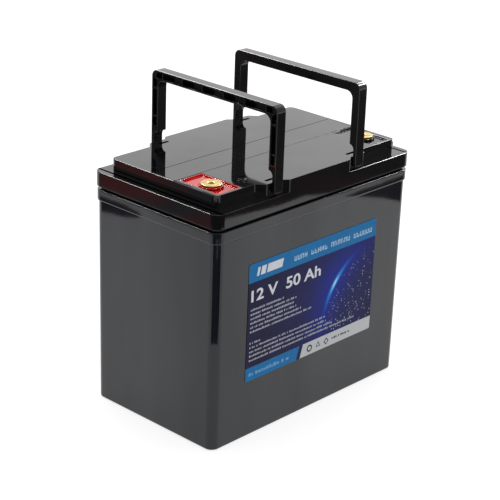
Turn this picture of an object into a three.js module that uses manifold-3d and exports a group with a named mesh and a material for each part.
// A 12 V deep cycle battery: moulded case and lid, two fold-down handles, brass terminals,
// and the lithium pack inside. Millimetres. X runs along the length, the label faces -Y, +Z is up,
// and the origin is the centre of the case's underside.
import * as THREE from "three";
import { mergeVertices } from "three/addons/utils/BufferGeometryUtils.js";
import Module from "manifold-3d";

const wasm = await Module();
wasm.setup();

// Driving dimensions of the outside.
const LENGTH = 229;
const WIDTH = 138;
const LID_TOP = 208.9;
const TERMINAL_TOP = 210.4;
const WALL = 3;
const GAP = 0.3;
const OVERLAP = 0.2;
const CORNER_R = 7.5;
const CORNER_STEPS = 4;

// Case: its walls lean out by the draft from the floor up to the lip.
const CASE_LENGTH = 225.8;
const CASE_WIDTH = 135.8;
const DRAFT = 0.7;
const FOOT_R = 1.6;
const LIP_BOTTOM = 174;
const LIP_TOP = 183.5;
const LIP_LENGTH = 228.6;
const LIP_WIDTH = 137.6;
const LIP_R = 8.3;
const LIP_EDGE = 0.5;
const FLOOR_TOP = WALL;
const CAVITY_X = 109.5;
const CAVITY_Y = 64.5;
const CAVITY_R = 4.5;

// Lid.
const RIM_BOTTOM = 186.4;
const LEDGE_TOP = 198.4;
const RIM_R = 8;
const RIM_EDGE = 0.8;
const TIER_X = 105.2;
const TIER_Y = 58.2;
const TIER_R = 5;
const BOSS_Y = 64.8;
const FLUSH_X = 36;
const BOSS_X = [40.8, 57.3];
const SHOULDER_X = 63.4;
const RIM_HOLLOW = [105, 60];
const TIER_HOLLOW = [TIER_X - WALL, 54.6];
const HOLLOW_R = 2;
const TONGUE_BOTTOM = 176;
const TONGUE_X = 107.4;
const TONGUE_Y = 62.4;
const TONGUE_R = 3;
const SEAL_X = 111.4;
const SEAL_Y = 66;
const SEAL_R = 5.5;
const STRIP_Y = 13.3;
const STRIP_DEPTH = 1.2;
const STRIP_END = 103.6;

// Terminals and their pockets.
const TERMINAL_X = 89;
const TERMINAL_Y = -36.9;
const POCKET_X = [76, 101];
const POCKET_Y = [-56, -13.6];
const POCKET_FLOOR = 205.9;
const POCKET_BASE = POCKET_FLOOR - 2.7;
const LINER_WALL = 1;
const DISC_R = 8.25;
const DISC_BOTTOM = TERMINAL_TOP - 1.2;
const COLLAR_R = 9.5;
const COLLAR_LOBE = 0.5;
const COLLAR_LOBES = 12;
const NECK_R = 6;
const NECK_HOLE_R = 6.4;
const THREAD_R = 2.6;
const THREAD_DEPTH = 12;
const RING_R = 8.6;
const RING_HEIGHT = 1.7;
const LUG_TOP = POCKET_BASE - 2.6;
const LUG_SHEET = 2;
const LUG_R = 10;
const NUT_BOTTOM = LUG_TOP - 8.2;
const NECK_BOTTOM = LUG_TOP - 10.4;

// Handles.
const HANDLE_X = 47.5;
const HANDLE_DEPTH = 9.5;
const HANDLE_OUTER_Y = 68.2;
const HANDLE_INNER_Y = 61;
const HANDLE_TOP = 269.4;
const GRIP_BOTTOM = 261.6;
const HANDLE_OUTER_R = 5.5;
const HANDLE_INNER_R = 6;
const HANDLE_SKIN = 1.5;
const HANDLE_WEB = 3;
const RIB = 1.2;
const GRIP_RIBS = [-56, -34, -11.3, 11.3, 34, 56];
const LEG_RIBS = [221, 231, 254];
const NECK_Y = 65.1;
const NECK_TOP = 214.2;
const NECK_SLOPE_TOP = 218.3;
const FOOT_BOTTOM = 200.3;
const FOOT_EDGE = 2.6;
const PIVOT_Z = 203.7;
const PIN_R = 2.5;
const PIN_HOLE_R = 2.8;
const SLOT_Y = [57, 60];
const SLOT_HALF_X = 5;
const SLOT_BOTTOM = PIVOT_Z - 4;

// Label.
const LABEL_WIDTH = 152;
const LABEL_HEIGHT = 100;
const LABEL_R = 1.5;
const LABEL_SHEET = 0.25;
const LABEL_CENTRE = [-1, 99];

// Cell pack.
const CELL_LENGTH = 148;
const CELL_THICKNESS = 26.6;
const CELL_PITCH = 27.7;
const CELL_BOTTOM = 7.6;
const CELL_TOP = 133.6;
const STUD_X = 52;
const STUD_R = 3;
const POST_TOP = 136.6;
const BAR_TOP = 138.9;
const NUT_TOP = 144.2;
const STUD_TOP = 145;
const END_PLATE = 5;
const END_PLATE_TOP = 147;
const BAND = 0.6;
const BOARD_BOTTOM = 147.3;
const BOARD_TOP = 148.8;
const PCB_BOTTOM = 153.3;
const PCB_TOP = 154.9;
const HEATSINK_BOTTOM = 157.4;
const HEATSINK_TOP = 160.4;
const SCREW_X = 44;
const SCREW_Y = 25;
const SCREW_HOLE_R = 1.8;
const CABLE_R = 2.6;
const BARREL_R = 2.9;
const BARREL_WALL = 1.1;

// Turns a closed geometry into a solid that can be joined and cut.
function solid(geometry) {
  const bare = geometry.clone();
  bare.deleteAttribute("normal");
  bare.deleteAttribute("uv");
  const merged = mergeVertices(bare, 1e-4);
  return new wasm.Manifold(
    new wasm.Mesh({
      numProp: 3,
      vertProperties: merged.attributes.position.array,
      triVerts: new Uint32Array(merged.index.array),
    }),
  );
}

// Turns a solid back into a geometry that three.js can draw.
function geometryOf(body) {
  const data = body.getMesh();
  const geometry = new THREE.BufferGeometry();
  geometry.setAttribute("position", new THREE.BufferAttribute(data.vertProperties, 3));
  geometry.setIndex(new THREE.BufferAttribute(data.triVerts, 1));
  geometry.computeVertexNormals();
  return geometry;
}

function join(bodies) {
  return bodies.reduce((sum, body) => sum.add(body));
}

function cut(body, tools) {
  return tools.reduce((rest, tool) => rest.subtract(tool), body);
}

// A box from its two corners.
function box(x0, x1, y0, y1, z0, z1) {
  const geometry = new THREE.BoxGeometry(x1 - x0, y1 - y0, z1 - z0);
  geometry.translate((x0 + x1) / 2, (y0 + y1) / 2, (z0 + z1) / 2);
  return solid(geometry);
}

// A round bar between two points.
function bar(from, to, radius, sides = 16) {
  const start = new THREE.Vector3(...from);
  const run = new THREE.Vector3(...to).sub(start);
  const geometry = new THREE.CylinderGeometry(radius, radius, run.length(), sides);
  geometry.translate(0, run.length() / 2, 0);
  const turn = new THREE.Quaternion().setFromUnitVectors(
    new THREE.Vector3(0, 1, 0),
    run.clone().normalize(),
  );
  geometry.applyQuaternion(turn);
  geometry.translate(start.x, start.y, start.z);
  return solid(geometry);
}

// A rounded rectangle centred on the origin.
function roundedRectangle(halfX, halfY, radius) {
  const shape = new THREE.Shape();
  shape.absarc(halfX - radius, halfY - radius, radius, 0, Math.PI / 2);
  shape.absarc(radius - halfX, halfY - radius, radius, Math.PI / 2, Math.PI);
  shape.absarc(radius - halfX, radius - halfY, radius, Math.PI, 1.5 * Math.PI);
  shape.absarc(halfX - radius, radius - halfY, radius, 1.5 * Math.PI, 2 * Math.PI);
  return shape;
}

function polygon(points) {
  return new THREE.Shape(points.map(([x, y]) => new THREE.Vector2(x, y)));
}

// A flat shape raised from z0 to z1.
function prism(shape, z0, z1, steps = CORNER_STEPS) {
  const geometry = new THREE.ExtrudeGeometry(shape, {
    depth: z1 - z0,
    bevelEnabled: false,
    curveSegments: steps,
  });
  geometry.translate(0, 0, z0);
  return solid(geometry);
}

// A closed body through outlines of equal point count, each at its own height.
function loft(sections) {
  const rings = sections.map(([shape, z]) => {
    const points = shape.extractPoints(CORNER_STEPS).shape;
    return points.map((p) => [p.x, p.y, z]);
  });
  const count = rings[0].length;
  const cap = THREE.ShapeUtils.triangulateShape(
    rings[0].map(([x, y]) => new THREE.Vector2(x, y)),
    [],
  );
  const last = (rings.length - 1) * count;
  const faces = cap.flatMap(([a, b, c]) => [c, b, a, last + a, last + b, last + c]);
  for (let level = 0; level + 1 < rings.length; level += 1) {
    for (let i = 0; i < count; i += 1) {
      const a = level * count + i;
      const b = level * count + ((i + 1) % count);
      faces.push(a, b, b + count, a, b + count, a + count);
    }
  }
  const geometry = new THREE.BufferGeometry();
  const positions = new Float32Array(rings.flat(2));
  geometry.setAttribute("position", new THREE.BufferAttribute(positions, 3));
  geometry.setIndex(faces);
  return solid(geometry);
}

// A ring or disc turned about the Z axis, from [radius, height] points that close on themselves.
function turned(profile, x, y, sides = 24) {
  const points = [...profile, profile[0]].map(([r, z]) => new THREE.Vector2(r, z));
  const geometry = new THREE.LatheGeometry(points, sides);
  geometry.rotateX(Math.PI / 2);
  geometry.translate(x, y, 0);
  return solid(geometry);
}

// A round cable or rib swept along a smooth curve through the points.
function swept(points, radius, sides = 4, steps = 20) {
  const circle = new THREE.Shape();
  circle.absarc(0, 0, radius, 0, 2 * Math.PI);
  const curve = new THREE.CatmullRomCurve3(points.map((p) => new THREE.Vector3(...p)));
  const geometry = new THREE.ExtrudeGeometry(circle, {
    steps,
    curveSegments: sides,
    extrudePath: curve,
  });
  return solid(geometry);
}

// ---------- case ----------

// How far the case's wall stands in from its widest, at a height.
const draftAt = (z) => DRAFT * (1 - z / LIP_BOTTOM);

function caseShell() {
  const wall = (z, round) => {
    const inset = draftAt(z) + round;
    return [roundedRectangle(CASE_LENGTH / 2 - inset, CASE_WIDTH / 2 - inset, CORNER_R - round), z];
  };
  const lip = (z, inset) => [
    roundedRectangle(LIP_LENGTH / 2 - inset, LIP_WIDTH / 2 - inset, LIP_R - inset),
    z,
  ];
  const foot = [0, 0.5, 1].map((turn) => {
    const angle = (turn * Math.PI) / 2;
    return wall(FOOT_R * (1 - Math.cos(angle)), FOOT_R * (1 - Math.sin(angle)));
  });
  const body = loft([
    ...foot,
    wall(LIP_BOTTOM, 0),
    lip(LIP_BOTTOM + 0.02, LIP_EDGE),
    lip(LIP_BOTTOM + LIP_EDGE, 0),
    lip(LIP_TOP - LIP_EDGE, 0),
    lip(LIP_TOP, LIP_EDGE),
  ]);
  return body.subtract(prism(roundedRectangle(CAVITY_X, CAVITY_Y, CAVITY_R), FLOOR_TOP, LIP_TOP + 1));
}

function lidSeal() {
  const ring = roundedRectangle(SEAL_X, SEAL_Y, SEAL_R);
  ring.holes.push(roundedRectangle(TONGUE_X + GAP, TONGUE_Y + GAP, TONGUE_R));
  return prism(ring, LIP_TOP + GAP, RIM_BOTTOM - GAP, 4);
}

// ---------- lid ----------

// Plan of the raised middle of the lid: full width between the handles, narrower beside them.
function tierOutline(inset) {
  const middleShift = 0.36 * inset;
  const endShift = 0.44 * inset;
  const quarter = [
    [FLUSH_X - middleShift, WIDTH / 2 - inset],
    [BOSS_X[0] - middleShift, BOSS_Y - inset],
    [BOSS_X[1] - endShift, BOSS_Y - inset],
    [SHOULDER_X - endShift, TIER_Y - inset],
  ];
  const shape = new THREE.Shape();
  const endX = TIER_X - inset;
  const endY = TIER_Y - inset;
  const radius = TIER_R - inset;
  const corner = (signX, signY, start) =>
    shape.absarc(signX * (endX - radius), signY * (endY - radius), radius, start, start + Math.PI / 2);
  const steps = (signX, signY, points) =>
    points.forEach(([x, y]) => shape.lineTo(signX * x, signY * y));
  corner(1, 1, 0);
  steps(1, 1, [...quarter].reverse());
  steps(-1, 1, quarter);
  corner(-1, 1, Math.PI / 2);
  corner(-1, -1, Math.PI);
  steps(-1, -1, [...quarter].reverse());
  steps(1, -1, quarter);
  corner(1, -1, 1.5 * Math.PI);
  return shape;
}

function lidOutside() {
  const rim = (inset) => roundedRectangle(LENGTH / 2 - inset, WIDTH / 2 - inset, RIM_R - inset);
  const skirt = loft([
    [rim(LIP_EDGE), RIM_BOTTOM],
    [rim(0), RIM_BOTTOM + LIP_EDGE],
    [rim(0), LEDGE_TOP - RIM_EDGE],
    [rim(RIM_EDGE), LEDGE_TOP],
  ]);
  const tier = loft([
    [tierOutline(0), RIM_BOTTOM + 1],
    [tierOutline(0), LID_TOP - RIM_EDGE],
    [tierOutline(0.3 * RIM_EDGE), LID_TOP - 0.3 * RIM_EDGE],
    [tierOutline(RIM_EDGE), LID_TOP],
  ]);
  const tongue = roundedRectangle(TONGUE_X, TONGUE_Y, TONGUE_R);
  return join([skirt, tier, prism(tongue, TONGUE_BOTTOM, RIM_BOTTOM + 1)]);
}

function pocketBox(side, wall, bottom) {
  const [x0, x1] = side < 0 ? [-POCKET_X[1], -POCKET_X[0]] : POCKET_X;
  return box(x0 - wall, x1 + wall, POCKET_Y[0] - wall, POCKET_Y[1] + wall, bottom, LID_TOP + 1);
}

function lid() {
  const plateBottom = LID_TOP - WALL;
  const hollow = join([
    prism(roundedRectangle(...RIM_HOLLOW, HOLLOW_R), TONGUE_BOTTOM - 1, LEDGE_TOP - WALL, 2),
    prism(roundedRectangle(...TIER_HOLLOW, HOLLOW_R), LEDGE_TOP - WALL - 1, plateBottom, 2),
  ]);
  const tools = [
    box(-STRIP_END, STRIP_END, -STRIP_Y, STRIP_Y, LID_TOP - STRIP_DEPTH, LID_TOP + 1),
  ];
  const walls = [lidOutside().subtract(hollow)];
  for (const side of [-1, 1]) {
    const above = pocketBox(side, 3, plateBottom + OVERLAP);
    walls.push(pocketBox(side, 2, POCKET_BASE).subtract(above));
    tools.push(pocketBox(side, 0, POCKET_FLOOR));
    const x = side * TERMINAL_X;
    tools.push(bar([x, TERMINAL_Y, POCKET_BASE - 1], [x, TERMINAL_Y, LID_TOP], NECK_HOLE_R, 24));
    for (const edge of [-1, 1]) {
      const [near, far] = SLOT_Y.map((y) => edge * y).sort((a, b) => a - b);
      const middle = side * HANDLE_X;
      const slot = [middle - SLOT_HALF_X, middle + SLOT_HALF_X, near, far];
      tools.push(box(...slot, SLOT_BOTTOM, LID_TOP + 1));
      tools.push(
        bar([middle, edge * SLOT_Y[0], PIVOT_Z], [middle, edge * (BOSS_Y + 1), PIVOT_Z], PIN_HOLE_R, 20),
      );
    }
  }
  return cut(join(walls), tools);
}

function topCoverStrip() {
  const end = STRIP_END - GAP;
  const side = STRIP_Y - GAP;
  return box(-end, end, -side, side, LID_TOP - STRIP_DEPTH + GAP, LID_TOP);
}

// ---------- terminals ----------

function pocketLiner(side) {
  const [x0, x1] = side < 0 ? [-POCKET_X[1], -POCKET_X[0]] : POCKET_X;
  const bottom = POCKET_FLOOR + GAP;
  const tray = box(
    x0 + GAP,
    x1 - GAP,
    POCKET_Y[0] + GAP,
    POCKET_Y[1] - GAP,
    bottom,
    LID_TOP - 0.1,
  );
  const inset = GAP + LINER_WALL;
  const hollow = box(
    x0 + inset,
    x1 - inset,
    POCKET_Y[0] + inset,
    POCKET_Y[1] - inset,
    bottom + LINER_WALL,
    LID_TOP + 1,
  );
  const x = side * TERMINAL_X;
  const hole = bar([x, TERMINAL_Y, bottom - 1], [x, TERMINAL_Y, bottom + 2], NECK_HOLE_R, 24);
  return cut(tray, [hollow, hole]);
}

// The scalloped ring that spaces the terminal's disc from the pocket floor.
function collar(side) {
  const shape = new THREE.Shape();
  const count = COLLAR_LOBES * 4;
  for (let i = 0; i < count; i += 1) {
    const angle = (i / count) * 2 * Math.PI;
    const radius = COLLAR_R + COLLAR_LOBE * Math.cos(angle * COLLAR_LOBES);
    const point = [radius * Math.cos(angle), radius * Math.sin(angle)];
    if (i === 0) shape.moveTo(...point);
    else shape.lineTo(...point);
  }
  const hole = new THREE.Path();
  hole.absarc(0, 0, NECK_HOLE_R, 0, 2 * Math.PI);
  shape.holes.push(hole);
  const ring = prism(shape, POCKET_FLOOR + 2 * GAP + LINER_WALL, DISC_BOTTOM - GAP, 12);
  return ring.translate([side * TERMINAL_X, TERMINAL_Y, 0]);
}

// A disc on a neck that passes down through the lid, with a blind threaded bore in its top.
function terminal(side) {
  const chamfer = 0.5;
  const drillTip = 1.2;
  const axis = 0.01;
  return turned(
    [
      [axis, NECK_BOTTOM],
      [NECK_R - chamfer, NECK_BOTTOM],
      [NECK_R, NECK_BOTTOM + chamfer],
      [NECK_R, DISC_BOTTOM],
      [DISC_R, DISC_BOTTOM],
      [DISC_R, TERMINAL_TOP - chamfer],
      [DISC_R - chamfer, TERMINAL_TOP],
      [THREAD_R + chamfer, TERMINAL_TOP],
      [THREAD_R, TERMINAL_TOP - chamfer],
      [THREAD_R, TERMINAL_TOP - THREAD_DEPTH],
      [axis, TERMINAL_TOP - THREAD_DEPTH - drillTip],
    ],
    side * TERMINAL_X,
    TERMINAL_Y,
  );
}

function terminalSeal(side) {
  const top = POCKET_BASE - GAP;
  return turned(
    [
      [NECK_HOLE_R, top - RING_HEIGHT],
      [RING_R, top - RING_HEIGHT],
      [RING_R, top],
      [NECK_HOLE_R, top],
    ],
    side * TERMINAL_X,
    TERMINAL_Y,
    20,
  );
}

function hexNut(acrossFlats, z0, z1, holeRadius, x, y) {
  const shape = new THREE.Shape();
  const corner = acrossFlats / Math.sqrt(3);
  for (let i = 0; i < 6; i += 1) {
    const angle = (i / 6) * 2 * Math.PI;
    const point = [corner * Math.cos(angle), corner * Math.sin(angle)];
    if (i === 0) shape.moveTo(...point);
    else shape.lineTo(...point);
  }
  const hole = new THREE.Path();
  hole.absarc(0, 0, holeRadius, 0, 2 * Math.PI);
  shape.holes.push(hole);
  return prism(shape, z0, z1, 6).translate([x, y, 0]);
}

function terminalNut(side) {
  const top = LUG_TOP - LUG_SHEET - GAP;
  return hexNut(18, NUT_BOTTOM, top, NECK_HOLE_R, side * TERMINAL_X, TERMINAL_Y);
}

// A ring lug whose crimp barrel points along +Y.
function terminalLug(side) {
  const x = side * TERMINAL_X;
  const barrelZ = LUG_TOP - LUG_SHEET;
  const plate = join([
    bar([x, TERMINAL_Y, barrelZ], [x, TERMINAL_Y, LUG_TOP], LUG_R, 24),
    box(x - 4, x + 4, TERMINAL_Y, TERMINAL_Y + 13, barrelZ, LUG_TOP),
    bar([x, TERMINAL_Y + 12, barrelZ], [x, TERMINAL_Y + 23, barrelZ], BARREL_R + BARREL_WALL),
  ]);
  return cut(plate, [
    bar([x, TERMINAL_Y, barrelZ - 1], [x, TERMINAL_Y, LUG_TOP + 1], NECK_HOLE_R, 24),
    bar([x, TERMINAL_Y + 13.5, barrelZ], [x, TERMINAL_Y + 24, barrelZ], BARREL_R),
  ]);
}

// ---------- handles ----------

// The U of a handle in the plane across the battery, with the neck above each hinge cut back.
function handleOutline() {
  const shape = new THREE.Shape();
  const [outerR, innerR] = [HANDLE_OUTER_R, HANDLE_INNER_R];
  const [outerY, innerY, top, grip] = [HANDLE_OUTER_Y, HANDLE_INNER_Y, HANDLE_TOP, GRIP_BOTTOM];
  shape.absarc(outerY - outerR, top - outerR, outerR, 0, Math.PI / 2);
  shape.absarc(outerR - outerY, top - outerR, outerR, Math.PI / 2, Math.PI);
  shape.lineTo(-outerY, FOOT_BOTTOM);
  shape.lineTo(-NECK_Y, FOOT_BOTTOM);
  shape.lineTo(-NECK_Y, NECK_TOP);
  shape.lineTo(-innerY, NECK_SLOPE_TOP);
  shape.absarc(innerR - innerY, grip - innerR, innerR, Math.PI, Math.PI / 2, true);
  shape.absarc(innerY - innerR, grip - innerR, innerR, Math.PI / 2, 0, true);
  shape.lineTo(innerY, NECK_SLOPE_TOP);
  shape.lineTo(NECK_Y, NECK_TOP);
  shape.lineTo(NECK_Y, FOOT_BOTTOM);
  shape.lineTo(outerY, FOOT_BOTTOM);
  return shape;
}

// Lays a prism whose outline is drawn in (y, z) so that its height runs along X.
function acrossX(body) {
  return body.transform([0, 1, 0, 0, 0, 0, 1, 0, 1, 0, 0, 0, 0, 0, 0, 1]);
}

// Open pockets in the handle's outward face, left apart by ribs.
function handlePockets(half) {
  const pocket = (y0, y1, z0, z1) => box(HANDLE_WEB - half, half + 1, y0, y1, z0, z1);
  const between = (ribs) =>
    ribs.slice(1).map((rib, i) => [ribs[i] + RIB / 2, rib - RIB / 2]);
  const [low, high] = [GRIP_BOTTOM + HANDLE_SKIN, HANDLE_TOP - HANDLE_SKIN];
  const pockets = between(GRIP_RIBS).map(([y0, y1]) => pocket(y0, y1, low, high));
  const [near, far] = [HANDLE_INNER_Y + HANDLE_SKIN, HANDLE_OUTER_Y - HANDLE_SKIN];
  for (const [y0, y1] of [[-far, -near], [near, far]]) {
    pockets.push(...between(LEG_RIBS).map(([z0, z1]) => pocket(y0, y1, z0, z1)));
  }
  return pockets;
}

// side is -1 for the handle at the -X end; its open pockets face away from the other handle.
function handle(side) {
  const half = HANDLE_DEPTH / 2;
  const upright = acrossX(prism(handleOutline(), -half, half, 4));
  const edge = half - FOOT_EDGE;
  const edgeZ = FOOT_BOTTOM + FOOT_EDGE;
  const profile = new THREE.Shape();
  profile.absarc(-edge, edgeZ, FOOT_EDGE, Math.PI, 1.5 * Math.PI);
  profile.absarc(edge, edgeZ, FOOT_EDGE, 1.5 * Math.PI, 2 * Math.PI);
  profile.lineTo(half, HANDLE_TOP + 1);
  profile.lineTo(-half, HANDLE_TOP + 1);
  const sideView = prism(profile, -HANDLE_OUTER_Y - 1, HANDLE_OUTER_Y + 1, 3).rotate([90, 0, 0]);
  const bodyWithPins = join([
    cut(upright.intersect(sideView), handlePockets(half)),
    ...[-1, 1].map((end) =>
      bar([0, end * (SLOT_Y[1] + 0.4), PIVOT_Z], [0, end * (NECK_Y + 1), PIVOT_Z], PIN_R, 20),
    ),
  ]);
  const turn = side < 0 ? [0, 0, 180] : [0, 0, 0];
  return bodyWithPins.rotate(turn).translate([side * HANDLE_X, 0, 0]);
}

// ---------- label ----------

// The label lies flat on the case's leaning wall.
function label() {
  const [x, z] = LABEL_CENTRE;
  const lean = THREE.MathUtils.radToDeg(Math.atan(DRAFT / LIP_BOTTOM));
  const outline = roundedRectangle(LABEL_WIDTH / 2, LABEL_HEIGHT / 2, LABEL_R);
  const sheet = prism(outline, 0, LABEL_SHEET, 3).rotate([90 + lean, 0, 0]);
  return sheet.translate([x, draftAt(z) - CASE_WIDTH / 2 - GAP / 2, z]);
}

// ---------- cell pack ----------

const cellY = (index) => (index - 1.5) * CELL_PITCH;
const PACK_Y = 1.5 * CELL_PITCH + CELL_THICKNESS / 2;

function cell(index) {
  const y = cellY(index);
  const half = CELL_THICKNESS / 2;
  const parts = [
    prism(roundedRectangle(CELL_LENGTH / 2, half, 2), CELL_BOTTOM, CELL_TOP, 1).translate([0, y, 0]),
  ];
  for (const x of [-STUD_X, STUD_X]) {
    parts.push(box(x - 9, x + 9, y - 7, y + 7, CELL_TOP - 1, POST_TOP - GAP));
    parts.push(bar([x, y, CELL_TOP], [x, y, STUD_TOP], STUD_R, 10));
  }
  return join(parts);
}

function cellSheet(index) {
  const y = cellY(index) + CELL_PITCH / 2;
  return box(-CELL_LENGTH / 2, CELL_LENGTH / 2, y - 0.25, y + 0.25, CELL_BOTTOM, CELL_TOP);
}

function endPlate(side) {
  const near = side * (PACK_Y + GAP);
  const far = side * (PACK_Y + GAP + END_PLATE);
  const [y0, y1] = [near, far].sort((a, b) => a - b);
  return box(-CELL_LENGTH / 2, CELL_LENGTH / 2, y0, y1, CELL_BOTTOM, END_PLATE_TOP);
}

function packBand(z) {
  const x = CELL_LENGTH / 2 + 0.4;
  const y = PACK_Y + END_PLATE + 2 * GAP;
  const ring = roundedRectangle(x + BAND, y + BAND, 1.6);
  ring.holes.push(roundedRectangle(x, y, 1));
  return prism(ring, z - 6, z + 6, 2);
}

// Copper links lie across the posts, with a hole for each stud.
function copperBar(x, y0, y1) {
  const [left, right, low, high] = [x - 8, x + 8, y0 - 7, y1 + 7];
  const shape = polygon([[left, low], [right, low], [right, high], [left, high]]);
  for (const y of y0 === y1 ? [y0] : [y0, y1]) {
    const hole = new THREE.Path();
    hole.absarc(x, y, STUD_R + GAP, 0, 2 * Math.PI);
    shape.holes.push(hole);
  }
  return prism(shape, POST_TOP, BAR_TOP - GAP, 6);
}

// The link at each end of the chain runs out past the cells to a crimp barrel.
function endTab(index) {
  const y = cellY(index);
  const z = POST_TOP + 1;
  const inner = -CELL_LENGTH / 2 - 4;
  const outer = inner - 11;
  const plate = join([
    copperBar(-STUD_X, y, y),
    box(inner - 2, -STUD_X - 7, y - 4, y + 4, POST_TOP, BAR_TOP - GAP),
    bar([inner, y, z], [outer, y, z], BARREL_R + BARREL_WALL),
  ]);
  return plate.subtract(bar([inner - 2, y, z], [outer - 1, y, z], BARREL_R));
}

function cellNut(x, index) {
  return hexNut(10, BAR_TOP, NUT_TOP, STUD_R + GAP, x, cellY(index));
}

// ---------- foam, board and protection electronics ----------

function basePad() {
  return box(-105, 105, -60, 60, FLOOR_TOP + GAP, CELL_BOTTOM - GAP);
}

function endPad(side) {
  const near = side * (CELL_LENGTH / 2 + 1.6);
  const far = side * (CAVITY_X - GAP);
  const [x0, x1] = [near, far].sort((a, b) => a - b);
  return box(x0, x1, -56, 56, CELL_BOTTOM, CELL_TOP);
}

const screwPlaces = [-1, 1].flatMap((sx) => [-1, 1].map((sy) => [sx * SCREW_X, sy * SCREW_Y]));

function insulatingBoard() {
  const y = PACK_Y + END_PLATE - 0.5;
  const board = box(-CELL_LENGTH / 2, CELL_LENGTH / 2, -y, y, BOARD_BOTTOM, BOARD_TOP);
  const posts = screwPlaces.map(([x, sy]) =>
    bar([x, sy, BOARD_TOP - 0.5], [x, sy, PCB_BOTTOM - GAP], 3.4, 12),
  );
  const holes = screwPlaces.map(([x, sy]) =>
    bar([x, sy, BOARD_BOTTOM - 1], [x, sy, PCB_BOTTOM + 1], SCREW_HOLE_R, 10),
  );
  const [wireX, wireY] = [20, -CELL_PITCH / 2];
  const wireHole = bar([wireX, wireY, BOARD_BOTTOM - 1], [wireX, wireY, BOARD_TOP + 1], 2, 10);
  return cut(join([board, ...posts]), [...holes, wireHole]);
}

// The protection board: two rows of transistors and the balance connector at its edge.
function bmsBoard() {
  const parts = [box(-52, 52, -31, 31, PCB_BOTTOM, PCB_TOP)];
  const sunk = PCB_TOP - OVERLAP;
  for (let i = -3; i <= 3; i += 1) {
    const x = i * 11;
    for (const y of [-2.5, 14.5]) {
      parts.push(box(x - 4, x + 4, y - 5.5, y + 5.5, sunk, HEATSINK_BOTTOM - GAP));
    }
  }
  parts.push(box(-9, 9, -30.5, -26.5, sunk, PCB_TOP + 6));
  const holes = screwPlaces.map(([x, y]) =>
    bar([x, y, PCB_BOTTOM - 1], [x, y, PCB_TOP + 1], SCREW_HOLE_R, 10),
  );
  return cut(join(parts), holes);
}

function bmsHeatsink() {
  const parts = [box(-48, 48, -23.5, 29, HEATSINK_BOTTOM, HEATSINK_TOP)];
  for (const [x, y] of screwPlaces) {
    parts.push(bar([x, y, HEATSINK_BOTTOM], [x, y, HEATSINK_TOP], 4.2, 12));
  }
  for (let i = -3; i <= 3; i += 1) {
    const y = i * 5;
    parts.push(box(-38, 38, y - 0.9, y + 0.9, HEATSINK_TOP - OVERLAP, HEATSINK_TOP + 9));
  }
  const holes = screwPlaces.map(([x, y]) =>
    bar([x, y, HEATSINK_BOTTOM - 1], [x, y, HEATSINK_TOP + 1], SCREW_HOLE_R, 10),
  );
  return cut(join(parts), holes);
}

function bmsScrew([x, y]) {
  const seat = HEATSINK_TOP + GAP;
  return join([
    bar([x, y, BOARD_TOP], [x, y, seat + 1], 1.5, 8),
    bar([x, y, seat], [x, y, seat + 2.2], 2.9, 12),
  ]);
}

// ---------- wiring ----------

// The straight last stretch of a cable, into a terminal lug's barrel.
function barrelRun(side) {
  const z = LUG_TOP - LUG_SHEET;
  return [28, 21, 14.5].map((reach) => [side * TERMINAL_X, TERMINAL_Y + reach, z]);
}

// The straight first stretch of a cable, out of an end tab's barrel.
function tabRun(index) {
  return [6.5, 12, 18].map((reach) => [-CELL_LENGTH / 2 - reach, cellY(index), POST_TOP + 1]);
}

function positiveCable() {
  const y = cellY(0);
  const z = POST_TOP + 1;
  return swept(
    [
      ...tabRun(0),
      [-101, y + 1, z + 8],
      [-99, y + 14, z + 32],
      [-94, 3, 176],
      [-90, 1, 192],
      ...barrelRun(-1),
    ],
    CABLE_R,
  );
}

function packNegativeCable() {
  const y = cellY(3);
  const z = POST_TOP + 1;
  return swept(
    [
      ...tabRun(3),
      [-101, y - 2, z + 8],
      [-93, y - 14, z + 21],
      [-76, 18, PCB_BOTTOM + 8],
      [-62, 16, PCB_BOTTOM + 2],
      [-52.6, 16, PCB_BOTTOM + 1],
    ],
    CABLE_R,
  );
}

function outputNegativeCable() {
  return swept(
    [
      [52.6, 5, PCB_BOTTOM + 1],
      [64, 5, PCB_BOTTOM + 1],
      [82, 8, PCB_BOTTOM + 12],
      [92, 7, 176],
      [90, 3, 192],
      ...barrelRun(1),
    ],
    CABLE_R,
  );
}

// A flat ribbon from the connector over the board's edge, down beside the copper links.
function balanceHarness() {
  const edge = PACK_Y + END_PLATE + 1.6;
  const outline = polygon([
    [-31.2, PCB_TOP + 3],
    [-31.2, PCB_TOP + 4.2],
    [-edge - 1.2, PCB_TOP + 4.2],
    [-edge - 1.2, CELL_TOP],
    [-edge, CELL_TOP],
    [-edge, PCB_TOP + 3],
  ]);
  return acrossX(prism(outline, -6, 6));
}

// A sensor bead on the cells' top with its lead up through the board.
function temperatureSensor() {
  const y = -CELL_PITCH / 2;
  const z = CELL_TOP + 2.4;
  return join([
    bar([12, y, z], [24, y, z], 2, 12),
    bar([20, y, z], [20, y, PCB_BOTTOM - GAP], 0.9, 8),
  ]);
}

// ---------- assembly ----------

const battery = new THREE.Group();

function add(name, body, color, roughness, metalness = 0) {
  const material = new THREE.MeshStandardMaterial({ color, roughness, metalness });
  const mesh = new THREE.Mesh(geometryOf(body), material);
  mesh.name = name;
  battery.add(mesh);
}

const BLACK = 0x0b0b0c;
const RED = 0xb8120c;
const BRASS = 0xd8b868;
const COPPER = 0xc0764a;
const STEEL = 0xa8aaad;
const FOAM = 0x3a3b3d;

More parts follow.
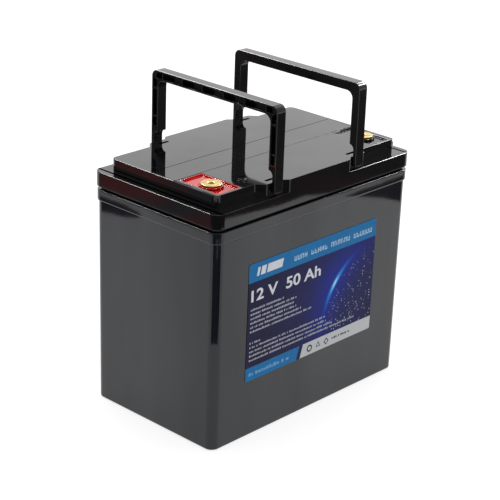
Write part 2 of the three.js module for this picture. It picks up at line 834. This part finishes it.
add("case", caseShell(), BLACK, 0.18);
add("lid", lid(), BLACK, 0.12);
add("lid_seal", lidSeal(), 0x111111, 0.7);
add("top_cover_strip", topCoverStrip(), BLACK, 0.12);
add("label", label(), 0x123a78, 0.3);
add("positive_pocket_liner", pocketLiner(-1), RED, 0.25);
add("negative_pocket_liner", pocketLiner(1), BLACK, 0.2);
add("positive_collar", collar(-1), RED, 0.3);
add("negative_collar", collar(1), BLACK, 0.3);
add("positive_end_handle", handle(-1), BLACK, 0.22);
add("negative_end_handle", handle(1), BLACK, 0.22);

for (const [end, side] of [["positive", -1], ["negative", 1]]) {
  add(`${end}_terminal`, terminal(side), BRASS, 0.3, 1);
  add(`${end}_terminal_seal`, terminalSeal(side), 0x151515, 0.8);
  add(`${end}_terminal_lug`, terminalLug(side), STEEL, 0.35, 1);
  add(`${end}_terminal_nut`, terminalNut(side), BRASS, 0.35, 1);
}

for (let i = 0; i < 4; i += 1) {
  add(`cell_${i + 1}`, cell(i), 0x1d4f9c, 0.4);
  add(`cell_nut_${2 * i + 1}`, cellNut(-STUD_X, i), STEEL, 0.35, 1);
  add(`cell_nut_${2 * i + 2}`, cellNut(STUD_X, i), STEEL, 0.35, 1);
}
for (let i = 0; i < 3; i += 1) {
  const x = i % 2 === 0 ? STUD_X : -STUD_X;
  add(`cell_sheet_${i + 1}`, cellSheet(i), 0xd9d3b8, 0.6);
  add(`bus_bar_${i + 1}`, copperBar(x, cellY(i), cellY(i + 1)), COPPER, 0.3, 1);
}
add("positive_end_tab", endTab(0), COPPER, 0.3, 1);
add("negative_end_tab", endTab(3), COPPER, 0.3, 1);

[-1, 1].forEach((side, i) => {
  add(`end_plate_${i + 1}`, endPlate(side), 0x3c4a30, 0.6);
  add(`pack_band_${i + 1}`, packBand(side < 0 ? 40 : 102), STEEL, 0.4, 1);
  add(`end_pad_${i + 1}`, endPad(side), FOAM, 0.9);
});

add("base_pad", basePad(), FOAM, 0.9);
add("insulating_board", insulatingBoard(), 0xcfc48a, 0.5);
add("bms_board", bmsBoard(), 0x14532a, 0.45);
add("bms_heatsink", bmsHeatsink(), 0x9a9da0, 0.35, 1);
screwPlaces.forEach((place, i) => add(`bms_screw_${i + 1}`, bmsScrew(place), STEEL, 0.35, 1));
add("positive_cable", positiveCable(), 0xa81812, 0.5);
add("pack_negative_cable", packNegativeCable(), 0x161616, 0.5);
add("output_negative_cable", outputNegativeCable(), 0x161616, 0.5);
add("balance_harness", balanceHarness(), 0xbfc0c2, 0.6);
add("temperature_sensor", temperatureSensor(), 0x1a1a1a, 0.5);

export default battery;
